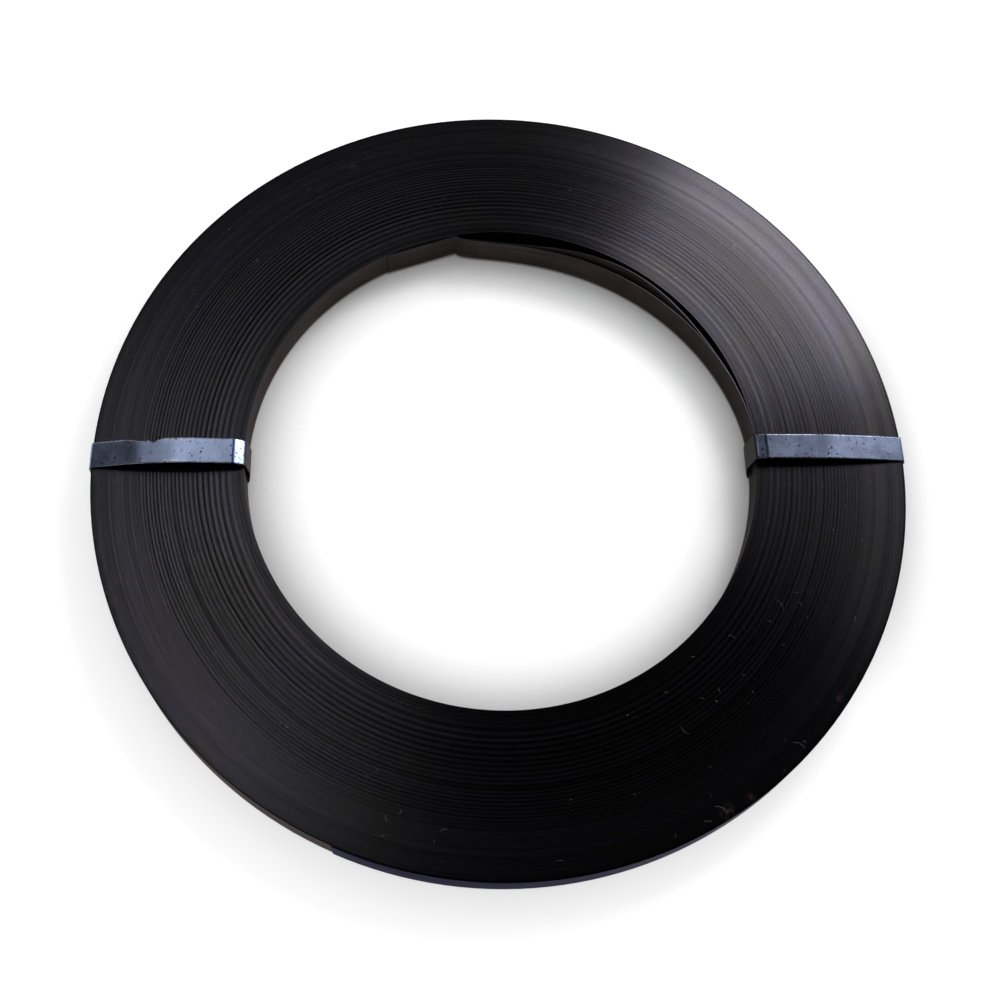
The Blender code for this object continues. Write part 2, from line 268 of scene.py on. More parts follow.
class Graph:
    """Short calls to place and join shader nodes in one node tree."""

    def __init__(self, tree):
        self.tree = tree

    def node(self, kind, **settings):
        """New node with some of its settings."""
        made = self.tree.nodes.new(kind)
        for key, value in settings.items():
            setattr(made, key, value)
        return made

    def feed(self, socket, value):
        """Join an output to a socket, or set the socket's own value."""
        if isinstance(value, bpy.types.NodeSocket):
            self.tree.links.new(value, socket)
        elif hasattr(socket.default_value, "__len__") and len(value) == 3:
            width = len(socket.default_value)
            socket.default_value = tuple(value) if width == 3 else (*value, 1.0)
        else:
            socket.default_value = value

    def math(self, operation, *values, clamp=False):
        """Result of a Math node."""
        made = self.node("ShaderNodeMath", operation=operation, use_clamp=clamp)
        for socket, value in zip(made.inputs, values):
            self.feed(socket, value)
        return made.outputs[0]

    def plus(self, left, right):
        """Sum of two values."""
        return self.math("ADD", left, right)

    def times(self, left, right, clamp=False):
        """Product of two values, held to 0..1 where clamped."""
        return self.math("MULTIPLY", left, right, clamp=clamp)

    def mix(self, factor, low, high):
        """Colour between two colours."""
        made = self.node("ShaderNodeMix", data_type="RGBA")
        self.feed(made.inputs[0], factor)
        self.feed(made.inputs[6], low)
        self.feed(made.inputs[7], high)
        return made.outputs[2]

    def scale(self, colour, factor):
        """Colour made brighter or darker by a factor."""
        made = self.node("ShaderNodeVectorMath", operation="SCALE")
        self.feed(made.inputs[0], colour)
        self.feed(made.inputs["Scale"], factor)
        return made.outputs[0]

    def span(self, value, low, high, to_low=0.0, to_high=1.0):
        """Value carried from one range to another, smoothly and held at its ends."""
        made = self.node("ShaderNodeMapRange", interpolation_type="SMOOTHSTEP")
        for socket, given in zip(made.inputs, (value, low, high, to_low, to_high)):
            self.feed(socket, given)
        return made.outputs[0]

    def noise(self, place, scale, detail, roughness):
        """Noise value at a place."""
        made = self.node("ShaderNodeTexNoise")
        settings = {"Vector": place, "Scale": scale, "Detail": detail, "Roughness": roughness}
        for key, value in settings.items():
            self.feed(made.inputs[key], value)
        return made.outputs["Fac"]

    def place(self):
        """Place in the object's own coordinates, in metres."""
        return self.node("ShaderNodeTexCoord").outputs["Object"]

    def axes(self):
        """The x, y and z of the place."""
        parts = self.node("ShaderNodeSeparateXYZ")
        self.feed(parts.inputs[0], self.place())
        return parts.outputs

    def radius(self, x, y):
        """Distance from the winding axis."""
        return self.math("SQRT", self.plus(self.times(x, x), self.times(y, y)))

    def point(self, *values):
        """Vector made of three values."""
        made = self.node("ShaderNodeCombineXYZ")
        for socket, value in zip(made.inputs, values):
            self.feed(socket, value)
        return made.outputs[0]

    def attribute(self, name):
        """Number stored at each point of the mesh."""
        return self.node("ShaderNodeAttribute", attribute_name=name).outputs["Fac"]

    def bump(self, height, distance, strength):
        """Normal bent by a height."""
        made = self.node("ShaderNodeBump")
        for key, value in {"Strength": strength, "Distance": distance, "Height": height}.items():
            self.feed(made.inputs[key], value)
        return made.outputs["Normal"]

    def group(self, name, **values):
        """One of the shared effects, placed with its own values."""
        made = self.node("ShaderNodeGroup", node_tree=bpy.data.node_groups[name])
        for key, value in values.items():
            self.feed(made.inputs[key], value)
        return made


def new_group(name, takes, gives):
    """Empty node group with named float inputs and outputs, its graph and its two end nodes."""
    tree = bpy.data.node_groups.new(name, "ShaderNodeTree")
    for key in takes:
        tree.interface.new_socket(key, in_out="INPUT", socket_type="NodeSocketFloat")
    for key in gives:
        tree.interface.new_socket(key, in_out="OUTPUT", socket_type="NodeSocketFloat")
    graph = Graph(tree)
    return graph, graph.node("NodeGroupInput").outputs, graph.node("NodeGroupOutput").inputs


def make_ring_streaks():
    """Fine concentric shades: noise on the radius, slowly changing round the coil."""
    graph, takes, gives = new_group("ring_streaks", ("Fineness", "Drift"), ("Value",))
    x, y, _ = graph.axes()
    fine = graph.times(graph.radius(x, y), takes["Fineness"])
    place = graph.point(fine, graph.times(x, takes["Drift"]), graph.times(y, takes["Drift"]))
    graph.feed(gives["Value"], graph.noise(place, 1.0, 3.0, 0.6))


def make_dust_specks():
    """Small round specks. A cell's random colour says whether its speck is kept and how strong it is."""
    graph, takes, gives = new_group("dust_specks", ("Scale", "Radius", "Share"), ("Mask",))
    cells = graph.node("ShaderNodeTexVoronoi", feature="F1")
    graph.feed(cells.inputs["Vector"], graph.place())
    graph.feed(cells.inputs["Scale"], takes["Scale"])
    speck = graph.math("LESS_THAN", cells.outputs["Distance"], takes["Radius"])
    colour = graph.node("ShaderNodeSeparateColor")
    graph.feed(colour.inputs[0], cells.outputs["Color"])
    kept = graph.math("LESS_THAN", colour.outputs[0], takes["Share"])
    graph.feed(gives["Mask"], graph.times(graph.times(speck, kept), colour.outputs[1]))


def make_rust_bloom():
    """Ragged blotches, where a coarse and a fine noise together pass a threshold."""
    graph, takes, gives = new_group("rust_bloom", ("Scale", "Spread"), ("Mask",))
    place = graph.place()
    coarse = graph.noise(place, takes["Scale"], 2.0, 0.5)
    fine = graph.noise(place, graph.times(takes["Scale"], 9.0), 4.0, 0.65)
    both = graph.plus(graph.times(coarse, 0.7), graph.times(fine, 0.3))
    start = graph.math("SUBTRACT", 1.0, takes["Spread"])
    graph.feed(gives["Mask"], graph.span(both, start, graph.plus(start, 0.06)))


def make_effects():
    """Build the shared effects once."""
    make_ring_streaks()
    make_dust_specks()
    make_rust_bloom()


def new_material(name):
    """Material with an empty graph round its Principled shader."""
    material = bpy.data.materials.new(name)
    material.use_nodes = True
    return material, Graph(material.node_tree), material.node_tree.nodes["Principled BSDF"].inputs


WHITE = (1.0, 1.0, 1.0)


def shaded(colour, factor):
    """The colour with each channel scaled."""
    return tuple(factor * channel for channel in colour)


def near(graph, azimuth, radius, height, reach):
    """Mask that falls from one at a place, its azimuth in degrees, to nothing at the reach."""
    measure = graph.node("ShaderNodeVectorMath", operation="DISTANCE")
    graph.feed(measure.inputs[0], graph.place())
    angle = math.radians(azimuth)
    measure.inputs[1].default_value = (radius * math.cos(angle), radius * math.sin(angle), height)
    return graph.span(measure.outputs["Value"], 0.0, reach, 1.0, 0.0)


class PhotoMark(NamedTuple):
    """A mark on the coil's top, at a pixel read off the photograph.

    The reach is a rusty place's. The heading, in degrees, and the length are a fibre's.
    """

    across: int
    down: int
    reach: float = 0.0
    heading: float = 0.0
    length: float = 0.0

    def place(self):
        """Azimuth in degrees and radius of the point of the top that the camera shows at the pixel.

        Both are rounded, to a tenth of a degree and of a millimetre, which is finer than a pixel.
        """
        ahead = (CAMERA_TARGET - CAMERA_PLACE).normalized()
        level = ahead.cross(Vector((0, 0, 1))).normalized()
        upright = level.cross(ahead)
        right = level * math.cos(CAMERA_ROLL) + upright * math.sin(CAMERA_ROLL)
        up = upright * math.cos(CAMERA_ROLL) - level * math.sin(CAMERA_ROLL)
        sideways = (self.across - PHOTO_SIZE / 2) / PHOTO_FOCAL
        upwards = (PHOTO_SIZE / 2 + CAMERA_SHIFT * PHOTO_SIZE - self.down) / PHOTO_FOCAL
        ray = ahead + right * sideways + up * upwards
        point = CAMERA_PLACE + ray * ((COIL_HIGH.z - CAMERA_PLACE.z) / ray.z)
        return round(math.degrees(math.atan2(point.y, point.x)), 1), round(point.xy.length, 4)


RUST_MARKS = (
    PhotoMark(across=353, down=167, reach=0.006),
    PhotoMark(across=838, down=697, reach=0.005),
    PhotoMark(across=728, down=812, reach=0.010),
)
# Azimuth in degrees, radius and reach of one more, beside the last of them.
RUST_BESIDE = (-57.5, 0.3186, 0.006)
EDGE_CONTRAST = 1.45
EDGE_DARKEST = 0.30
STREAK_SHADE = 0.10
NEUTRAL_GAIN = 1.04
SPECK_STRENGTH = 0.55
FILM_STRENGTH = 0.03
RUST_STRENGTH = 0.22


def edge_finish(colours):
    """Waxed black turn edges: dark metallic sheen in each turn's tone and painted sheen, with dust and rust
    specks.
    """
    material, graph, shader = new_material("black_strap_edges")
    # The turns' tone carries painted sheen: regular rings and a paling towards the outside.
    tone_and_sheen = graph.attribute("turn_tone")
    streak = graph.group("ring_streaks", Fineness=1300.0, Drift=1.5).outputs[0]
    shade = graph.plus(tone_and_sheen, graph.span(streak, 0.3, 0.7, -STREAK_SHADE, STREAK_SHADE))
    grey = graph.plus(graph.times(shade, EDGE_CONTRAST), EDGE_DARKEST)
    tint = graph.span(graph.noise(graph.place(), 13.0, 1.0, 0.5), 0.34, 0.48)
    red, green, _ = shaded(colours.strap_edge, NEUTRAL_GAIN)
    neutral = (red, green, red)
    metal = graph.scale(graph.mix(tint, neutral, colours.strap_edge), grey)
    dust = graph.group("dust_specks", Scale=230.0, Radius=0.06, Share=0.04).outputs[0]
    film = graph.span(graph.noise(graph.place(), 38.0, 5.0, 0.62), 0.62, 0.86, 0.0, FILM_STRENGTH)
    dirt = graph.math("MAXIMUM", graph.times(dust, SPECK_STRENGTH), film)
    bloom = graph.group("rust_bloom", Scale=330.0, Spread=0.53).outputs[0]
    spots = 0.0
    places = [(*mark.place(), mark.reach) for mark in RUST_MARKS]
    for azimuth, radius, reach in (*places, RUST_BESIDE):
        spots = graph.plus(near(graph, azimuth, radius, COIL_HIGH.z, reach), spots)
    rusty = graph.times(graph.times(bloom, spots), RUST_STRENGTH, clamp=True)
    graph.feed(shader["Base Color"], graph.mix(rusty, graph.mix(dirt, metal, colours.dust), colours.rust))
    plain = graph.math("MAXIMUM", dirt, rusty)
    graph.feed(shader["Metallic"], graph.math("SUBTRACT", 1.0, plain))
    rough = graph.span(streak, 0.25, 0.75, 0.18, 0.24)
    graph.feed(shader["Roughness"], graph.plus(rough, graph.times(plain, 0.4)))
    grit = graph.noise(graph.place(), 2600.0, 3.0, 0.6)
    graph.feed(shader["Normal"], graph.bump(grit, 0.00002, 0.3))
    return material


# Noise frequencies on x, y and z: streaks that run along the strap.
FACE_STREAKS = (14.0, 14.0, 420.0)
VIOLET_DEEP = (0.046, 0.042, 0.072)
VIOLET_PALE = (0.080, 0.077, 0.130)
RUBBED_STEEL = (0.42, 0.37, 0.35)
FACE_TINT = (0.80, 0.74, 0.74)
VIOLET_TINT = (0.13, 0.125, 0.20)


def face_finish(colours):
    """Waxed black strap faces: faint streaks, brown stains, a violet sheen near the outer end, and painted
    light and shade by the loose turns.
    """
    material, graph, shader = new_material("black_strap_faces")
    # The turns' tone, with its painted sheen, also shades the faces a little.
    tone_and_sheen = graph.attribute("turn_tone")
    place = graph.point(*(graph.times(axis, scale) for axis, scale in zip(graph.axes(), FACE_STREAKS)))
    brushed = graph.noise(place, 1.0, 4.0, 0.6)
    warm = graph.span(graph.noise(graph.place(), 26.0, 4.0, 0.6), 0.40, 0.66)
    stained = graph.mix(warm, colours.strap_face, shaded(colours.strap_face, 1.5))
    shade = graph.plus(graph.times(tone_and_sheen, 0.4), graph.times(brushed, 0.6))
    dark = shaded(colours.strap_face, 0.6)
    metal = graph.mix(graph.span(shade, 0.28, 0.62), dark, stained)
    dust = graph.group("dust_specks", Scale=240.0, Radius=0.07, Share=0.04).outputs[0]
    dirt = graph.times(dust, 0.4)
    # Painted light and shade by the loose turns scale the faces' colour.
    dusty_and_painted_light = graph.mix(dirt, graph.scale(metal, graph.attribute("face_light")), colours.dust)
    cleaner = graph.attribute("outer_sheen")
    cloud = graph.span(graph.noise(graph.place(), 60.0, 4.0, 0.6), 0.3, 0.7)
    violet = graph.mix(cloud, VIOLET_DEEP, VIOLET_PALE)
    coated = graph.mix(cleaner, dusty_and_painted_light, violet)
    rubbed = graph.span(graph.attribute("downward"), 0.92, 0.945, 0.0, 0.85)
    graph.feed(shader["Base Color"], graph.mix(rubbed, coated, RUBBED_STEEL))
    bright = graph.times(cleaner, graph.math("SUBTRACT", 1.0, rubbed))
    graph.feed(shader["Metallic"], graph.span(bright, 0.0, 1.0, 0.34, 1.0))
    graph.feed(shader["Specular IOR Level"], 0.0)
    graph.feed(shader["Specular Tint"], graph.mix(cleaner, FACE_TINT, VIOLET_TINT))
    rough = graph.span(brushed, 0.3, 0.7, 0.34, 0.46)
    graph.feed(shader["Roughness"], graph.math("SUBTRACT", rough, graph.times(cleaner, 0.06)))
    graph.feed(shader["Normal"], graph.bump(brushed, 0.00004, 0.4))
    return material


# Where the torn edge is bare: azimuth in degrees, radius, rise over the coil and reach.
TORN_PLACE = (180.0, 0.262, 0.008, 0.026)
PIT_COLOUR = (0.018, 0.022, 0.045)
# Painted dark reflection along a band's crease, where the bend catches no light.
CREASE_REFLECTION_COLOUR = (0.018, 0.027, 0.075)
BORE_RUN_COLOUR = (0.030, 0.026, 0.025)
BORE_RUN_TINT = (0.25, 0.24, 0.25)


def band_finish(colours):
    """Blue tempered steel: mottled blue, bare and rust-stained along worn edges, with dark specks."""
    material, graph, shader = new_material("blued_steel_band")
    place = graph.place()
    mottle = graph.noise(place, 300.0, 2.0, 0.5)
    cloud = graph.noise(place, 62.0, 3.0, 0.55)
    deep = shaded(colours.band_steel, 0.82)
    pale = shaded(colours.band_steel, 1.16)
    blended = graph.plus(graph.times(mottle, 0.25), cloud)
    blue = graph.mix(graph.span(blended, 0.42, 0.84), deep, pale)
    margin = graph.attribute("edge_distance")
    ragged = graph.noise(place, 520.0, 4.0, 0.7)
    azimuth, radius, rise, torn_reach = TORN_PLACE
    torn = near(graph, azimuth, radius, COIL_HIGH.z + rise, torn_reach)
    deepest = graph.span(torn, 0.0, 1.0, 0.0014, 0.0042)
    reach = graph.times(graph.span(ragged, 0.36, 0.70), deepest)
    worn = graph.times(graph.math("LESS_THAN", margin, reach), graph.span(cloud, 0.36, 0.54))
    bare = graph.mix(graph.times(worn, 0.6), blue, colours.worn_steel)
    pits = graph.group("dust_specks", Scale=300.0, Radius=0.26, Share=0.18).outputs[0]
    grit = graph.group("dust_specks", Scale=560.0, Radius=0.36, Share=0.6).outputs[0]
    clusters = graph.span(graph.noise(place, 85.0, 2.0, 0.5), 0.53, 0.60)
    pepper = graph.times(graph.math("GREATER_THAN", grit, 0.15), clusters)
    pitted = graph.math("GREATER_THAN", pits, 0.02)
    marked = graph.math("MAXIMUM", pitted, graph.times(pepper, 0.8))
    speckled = graph.mix(marked, bare, PIT_COLOUR)
    inward = graph.attribute("from_bore")
    # A painted dark reflection: a navy line along the crease.
    off_crease = graph.math("ABSOLUTE", graph.math("SUBTRACT", inward, CREASE_FROM_BORE))
    crease_reflection = graph.span(off_crease, 0.0006, 0.0015, 0.85, 0.0)
    crease_reflected = graph.mix(crease_reflection, speckled, CREASE_REFLECTION_COLOUR)
    # The run down the bore is darker, duller steel.
    bore_run = graph.span(inward, 0.0004, 0.0012, 1.0, 0.0)
    bore_run_darkened = graph.mix(bore_run, crease_reflected, BORE_RUN_COLOUR)
    bloom = graph.group("rust_bloom", Scale=230.0, Spread=0.42).outputs[0]
    edge_side = graph.span(margin, 0.0, 0.0030, 1.0, 0.10)
    rusty = graph.times(graph.times(bloom, edge_side), 0.7, clamp=True)
    # The band's colour is scaled by its painted light level: painted shade on the right band, painted light
    # on the left.
    tempered = graph.scale(graph.mix(rusty, bore_run_darkened, colours.rust), graph.attribute("temper"))
    rim = graph.span(margin, 0.0, 0.0005, 0.40, 1.0)
    graph.feed(shader["Base Color"], graph.scale(tempered, rim))
    dull = graph.math("MAXIMUM", graph.times(rusty, 0.8), graph.times(bore_run, 0.6))
    graph.feed(shader["Metallic"], graph.math("SUBTRACT", 1.0, dull))
    graph.feed(shader["Specular Tint"], graph.mix(bore_run, WHITE, BORE_RUN_TINT))
    rough = graph.span(cloud, 0.3, 0.7, 0.24, 0.28)
    graph.feed(shader["Roughness"], graph.plus(rough, graph.times(dull, 0.3)))
    graph.feed(shader["Normal"], graph.bump(rusty, 0.00004, 0.3))
    return material


BROWN_LINT = (0.30, 0.25, 0.19)


def lint_finish(colours):
    """Pale lint, a little browner in places."""
    material, graph, shader = new_material("pale_lint")
    tint = graph.noise(graph.place(), 12.0, 2.0, 0.5)
    shade = graph.mix(graph.span(tint, 0.4, 0.6), colours.dust, BROWN_LINT)
    graph.feed(shader["Base Color"], shade)
    graph.feed(shader["Roughness"], 0.9)
    return material


def wound_radius(lag, strap):
    """Bore radius plus one thickness for each turn wound so far."""
    return strap.bore_diameter / 2 + strap.thickness * lag / FULL_TURN


class Unevenness(NamedTuple):
    """A seeded noise along the strap: its pitch in turns, its seed and its strength."""

    pitch: float
    seed: int
    strength: float

    def along(self, turn):
        """Its value at places given in turns, between minus and plus its strength."""
        return self.strength * value_noise(turn, self.pitch, self.seed)


LOOSE_RISE = 0.55
LOOSE_FALL = 1.25
PARTING_START = 0.10
PARTING_END = 0.82


def stand_off(lag, strap):
    """How far the strap stands inward of its wound place, over its first two turns.

    The tail is the straight chord of the bore up to the kink. From there the first turn is a lopsided
    hump, u^rise (1 - u)^fall over its highest value. The second turn runs with it, less a parting of
    sin^2, and never behind its wound place.
    """
    half_kink = strap.kink / 2
    chord = strap.bore_diameter / 2 * math.cos(half_kink)
    tail = wound_radius(lag, strap) - chord / np.cos(np.clip(lag, 0, strap.kink) - half_kink)
    through = (lag % FULL_TURN - strap.kink) / (strap.rejoin - strap.kink)
    u = np.clip(through, 0, 1)
    peak = LOOSE_RISE / (LOOSE_RISE + LOOSE_FALL)
    highest = peak**LOOSE_RISE * (1 - peak) ** LOOSE_FALL
    hump = strap.loose_reach * u**LOOSE_RISE * (1 - u) ** LOOSE_FALL / highest
    parting = np.sin(math.pi * np.clip((u - PARTING_START) / (PARTING_END - PARTING_START), 0, 1)) ** 2
    second = np.maximum(hump - strap.second_turn_gap * parting, 0)
    first = np.where(lag <= strap.kink, tail, hump)
    return np.where(lag < FULL_TURN, first, np.where(lag < 2 * FULL_TURN, second, 0.0))


BORE_LINE_PITCH = 7.0
EVEN_LINE_PITCH = 3.4
EVEN_LINES_FROM = 0.52
LINED_SHARE = (0.17, 0.60, 0.13)
WEAKEST_LINES = 0.22
LINE_GAIN = 0.78
LINE_LEVEL = 0.84
LINE_SWELL = Unevenness(9.3, 51, 0.16)


def fine_lines(turn, last):
    """Regular fine rings in -1..1: groups of turns that lie and shine alike.

    A sine whose pitch narrows evenly from the bore to a share of the build and is even from there, so
    its phase is the logarithm of the pitch so far and then a straight line. It is strong through the
    inner half, and swells and fades with a slow noise.
    """
    share = turn / last
    inner = np.minimum(share, EVEN_LINES_FROM)
    narrowing = (BORE_LINE_PITCH - EVEN_LINE_PITCH) / EVEN_LINES_FROM
    phase = np.log(BORE_LINE_PITCH / (BORE_LINE_PITCH - narrowing * inner)) / narrowing
    phase = last * (phase + (share - inner) / EVEN_LINE_PITCH)
    strength = WEAKEST_LINES + LINE_GAIN * window(share, *LINED_SHARE)
    swell = LINE_LEVEL + LINE_SWELL.along(turn)
    return np.sin(FULL_TURN * phase) * strength * swell


FIRST_SUNKEN_TURN = 8
SUNKEN_RINGS = 6
SUNKEN_TURNS = 3
RING_GROWTH = 1.2
# Turns where a mask starts and ends, and the width of its soft edges.
SMOOTH_LANE = (18, 31, 3)
LINED_TURNS = (22, 92, 12)
# How much the noises weaken there.
LANE_CALM = 0.75
LINES_CALM = 0.6
SHADES_CALM = 0.55
# Depths and strengths in millimetres.
MEAN_DROP = 0.21
SUNKEN_DEPTH = 0.24
SHALLOWER_BY = 0.03
LINE_DEPTH = 0.05
EDGE_STEP = Unevenness(0.83, 11, 0.055)
EDGE_WAVE = Unevenness(3.1, 23, 0.07)
EDGE_SWELL = Unevenness(14.0, 31, 0.06)


def edge_drop(lag, strap):
    """How far below the highest turn the strap's top edge lies, in metres.

    The sum of sunken groups of turns, shallower further out; a slow swell; waves a few turns wide; a
    small step of each turn against its neighbours; and the regular lines. The waves and steps are weak
    in a smooth lane near the bore, and the waves where the lines are strong.
    """
    turn = lag / FULL_TURN
    last = strap.whole_turns
    sunken = np.zeros_like(turn)
    for ring in range(SUNKEN_RINGS):
        start = FIRST_SUNKEN_TURN + (last - FIRST_SUNKEN_TURN) * (ring / SUNKEN_RINGS) ** RING_GROWTH
        depth = (SUNKEN_DEPTH - SHALLOWER_BY * ring) * MM
        sunken += depth * window(turn, start + 1, start + SUNKEN_TURNS - 1, 1.0)
    lane = 1 - LANE_CALM * window(turn, *SMOOTH_LANE)
    regular = 1 - LINES_CALM * window(turn, *LINED_TURNS)
    step = EDGE_STEP.along(turn) * MM * lane
    wave = EDGE_WAVE.along(turn) * MM * lane * regular
    swell = EDGE_SWELL.along(turn) * MM
    lines = fine_lines(turn, last) * LINE_DEPTH * MM
    return np.clip(MEAN_DROP * MM + sunken + step + wave + swell + lines, 0, strap.edge_slack)


# The rounded top edge: shares of the thickness and drops under its crown. Then the bottom edge.
TOP_SHARE = np.array([0.0, 0.09, 0.38, 0.72, 1.0])
TOP_DROP = np.array([0.0405, 0.010, 0.0, 0.023, 0.058]) * MM
BASE_SHARE = np.array([1.0, 0.76, 0.24, 0.0])
BASE_RISE = np.array([0.24, 0.0, 0.0, 0.24]) * MM
HAIRLINE = 0.05 * MM
LEAN = 0.030 * MM
LINE_TILT = 0.50
TURN_TILT = Unevenness(0.71, 41, 0.45)


def strap_rings(lag, strap):
    """Section of the strap at each lag: rounded top edge, flat faces and rounded bottom edge.

    The point is bore radius + wound turns - stand-off + its share of the thickness, at the azimuth
    inner end - lag.
    """
    inner = wound_radius(lag, strap) - stand_off(lag, strap)
    share = np.concatenate([TOP_SHARE, BASE_SHARE])
    radius = inner[:, None] + share * (strap.thickness - HAIRLINE)
    top = COIL_HIGH.z - edge_drop(lag, strap)
    base = top - (COIL_HIGH.z - COIL_LOW.z - strap.edge_slack)
    turn = lag / FULL_TURN
    tilt = TURN_TILT.along(turn) + LINE_TILT * fine_lines(turn, strap.whole_turns)
    lean = tilt[:, None] * (2 * TOP_SHARE - 1) * LEAN
    height = np.concatenate([top[:, None] - TOP_DROP + lean - LEAN, base[:, None] + BASE_RISE], axis=1)
    azimuth = (strap.inner_end - lag)[:, None]
    return np.stack([radius * np.cos(azimuth), radius * np.sin(azimuth), height], axis=-1)


# Points of the section: where the strips of its two faces start, and whose edges stay sharp.
WALL_ROWS = (4, 8)
WALL_ENDS = (0, 1, 4, 5, 8)
MEAN_SHADE = 0.44
# Strengths of painted sheen: the regular rings, and the paling towards the outside.
LINE_PAINTED_SHEEN = 0.46
OUTER_PAINTED_SHEEN = 0.25
OUTER_START = 0.50
OUTER_SOFT = 0.35
BORE_SHADE = 0.12
BORE_TURNS = 15
RIM_SHADE = 0.90
RIM_TURNS = 1.5
RIM_SOFT = 1.2
LANE_SHADE = Unevenness(4.6, 61, 0.12)
TURN_SHADE = Unevenness(0.93, 5, 0.15)
# Turns whose faces get painted light and painted shade: start, end and soft width, then by how much.
# The second turn's face, seen through the first gap, is painted lit, and the third turn's face behind
# the loose turns is painted in shadow.
PAINTED_LIT_TURN = (1.07, 1.26, 0.03)
PAINTED_LIGHT_GAIN = 1.2
PAINTED_SHADE_TURN = (2.0, 2.30, 0.04)
PAINTED_SHADE_LOSS = 0.93
SHEEN_TURNS = 0.4


def turn_tones_and_sheen(turns, last):
    """Shade of the turns' edges, from 0 for dark to 1 for pale, partly their own tone and partly painted
    sheen.

    The regular lines and two noises stand round a mean. The noises are the turns' own random tone. The
    lines, and the paling in the outer half, are painted sheen: paler and darker rings that stand in for
    how the turns catch the light. The shade is also darker beside the bore and over the last turn.
    """
    uneven = 1 - SHADES_CALM * window(turns, *LINED_TURNS)
    lanes = LANE_SHADE.along(turns) * uneven + TURN_SHADE.along(turns) * uneven
    painted_outer_sheen = OUTER_PAINTED_SHEEN * smoothstep((turns / last - OUTER_START) / OUTER_SOFT)
    rim = RIM_SHADE * smoothstep((turns - last + RIM_TURNS) / RIM_SOFT)
    bore_side = BORE_SHADE * (1 - smoothstep(turns / BORE_TURNS))
    lines = LINE_PAINTED_SHEEN * fine_lines(turns, last)
    return np.clip(MEAN_SHADE + lines + lanes + painted_outer_sheen - bore_side - rim, 0, 1)


def wind_stretch(name, first_turn, last_turn, steps, strap, materials):
    """One stretch of the strap between two places, in turns, with so many stations in each turn."""
    fine = np.arange(math.floor(first_turn * steps) + 1, math.ceil(last_turn * steps)) / steps
    turns = np.concatenate([[first_turn], fine, [last_turn]])
    if first_turn == 0:
        turns = np.sort(np.append(turns, strap.kink / FULL_TURN))
    lag = turns * FULL_TURN
    rings = strap_rings(lag, strap)
    around = rings.shape[1]
    painted_light = PAINTED_LIGHT_GAIN * window(turns, *PAINTED_LIT_TURN)
    along = {
        "turn_tone": turn_tones_and_sheen(turns, strap.whole_turns),
        "face_light": 1 + painted_light - PAINTED_SHADE_LOSS * window(turns, *PAINTED_SHADE_TURN),
        "outer_sheen": smoothstep((turns - strap.whole_turns) / SHEEN_TURNS),
    }
    attributes = {key: values[:, None] * np.ones(around) for key, values in along.items()}
    downward = np.repeat([0.0, 1.0], [len(TOP_SHARE), len(BASE_SHARE)])
    attributes["downward"] = np.ones(len(lag))[:, None] * downward
    strips = [1 if row in WALL_ROWS else 0 for row in range(around)]
    piece = make_tube(name, rings, materials, strips, WALL_ENDS, attributes)
    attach(piece, "root")
    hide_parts("strap_coil")


class BandShape(NamedTuple):
    """How one tie band stands off the coil, its painted light level, and its torn edge.

    Shares are of the winding's build, counted from the bore. The torn edge is given by pairs of a
    share and a depth. The azimuth is in degrees.
    """

    azimuth: float
    shoulder_share: float
    shoulder_rise: float
    arch_share: float
    arch_rise: float
    crease_rise: float
    edge_rise: float
    bore_bulge: float
    # A scale of the band's colour that is painted light and shade: darker on the right band, paler on the
    # left.
    temper: float
    torn_edge: tuple
    seed: int


BANDS = {
    "tie_band_right": BandShape(
        azimuth=0.0,
        shoulder_share=0.80,
        shoulder_rise=0.0036,
        arch_share=0.50,
        arch_rise=0.0074,
        crease_rise=0.0088,
        edge_rise=0.0080,
        bore_bulge=0.0042,
        temper=0.55,
        torn_edge=(),
        seed=3,
    ),
    "tie_band_left": BandShape(
        azimuth=180.0,
        shoulder_share=0.72,
        shoulder_rise=0.0070,
        arch_share=0.40,
        arch_rise=0.0100,
        crease_rise=0.0068,
        edge_rise=0.0025,
        bore_bulge=0.0024,
        temper=1.28,
        torn_edge=(
            (0.77, 0.0),
            (0.70, 0.0014),
            (0.62, 0.0022),
            (0.585, 0.0031),
            (0.57, 0.0016),
            (0.52, 0.0),
        ),
        seed=8,
    ),
}

CREASE_FROM_BORE = 0.0088
BORE_EDGE_STEP = 0.0002
TIGHT_BEND = 0.0010
EDGE_BEND = 0.0032
CREASE_BEND = 0.0040
BULGE_BEND = 0.0300
ARCH_BEND = 0.1200
LAP_MARGIN = 0.0035
LAP_GAP = 0.0002
WELD_SPOT_RADIUS = 0.0024
WELD_SPOT_HEIGHT = 0.0003
WELD_SPOT_PITCH = 0.010
CAD_RING_SEGMENTS = 96


